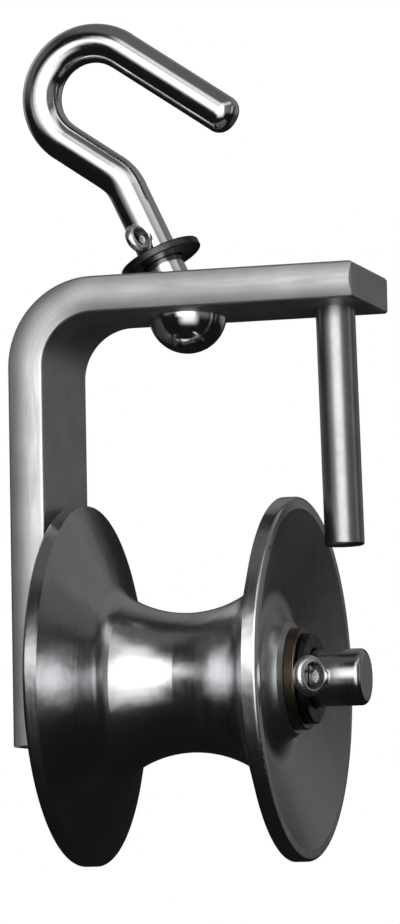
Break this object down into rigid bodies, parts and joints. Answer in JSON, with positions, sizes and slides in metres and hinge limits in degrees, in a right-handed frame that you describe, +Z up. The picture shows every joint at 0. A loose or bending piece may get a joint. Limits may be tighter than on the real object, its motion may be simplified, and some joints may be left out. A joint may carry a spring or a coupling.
{
  "type": "cable pulling block",
  "caption": "Open-frame pulling block: a bent flat-bar bracket carries a flanged hourglass roller on a fixed axle, with a guard pin and a swivelling hook above.",
  "frame": {"origin": "inside top of the hook's round, on the rod's inner surface, where the block hangs", "axes": "+X from the bracket's leg towards the arm's free end, along the axle; +Y to the back; +Z up"},
  "size_m": [0.101, 0.1016, 0.24],
  "materials": {
    "bar_steel": "zinc-plated rolled flat bar with fine marks along its length",
    "pin_steel": "bright turned rod",
    "washer_black": "blackened steel",
    "pin_zinc": "zinc-plated",
    "roller_iron": "dark oiled cast iron, turned on the groove and the rims",
    "bush_bronze": "oil-darkened bearing bronze",
    "hook_steel": "bright plated forging"
  },
  "bodies": {
    "hook": {"hook": "hook_steel", "hook_split_pin": "pin_zinc"},
    "swivel_washer": {"hook_washer": "washer_black"},
    "frame": {"frame_bracket": "bar_steel", "guard_pin": "pin_steel", "axle_pin": "pin_steel", "axle_washer": "washer_black", "axle_split_pin": "pin_zinc"},
    "roller": {"roller": "roller_iron", "inner_bush": "bush_bronze", "outer_bush": "bush_bronze"}
  },
  "joints": [
    {"name": "hook_swivel", "type": "hinge", "parent": "hook", "child": "swivel_washer", "pos_m": [0.02689, 0, -0.07414], "axis": [-0.4226, 0, 0.9063], "continuous": true},
    {"name": "hook_tilt", "type": "hinge", "parent": "swivel_washer", "child": "frame", "pos_m": [0.02689, 0, -0.07414], "axis": [0, -1, 0], "range_deg": [0, 50]},
    {"name": "roller_spin", "type": "hinge", "parent": "frame", "child": "roller", "pos_m": [0.02619, 0, -0.17814], "axis": [1, 0, 0], "continuous": true}
  ]
}
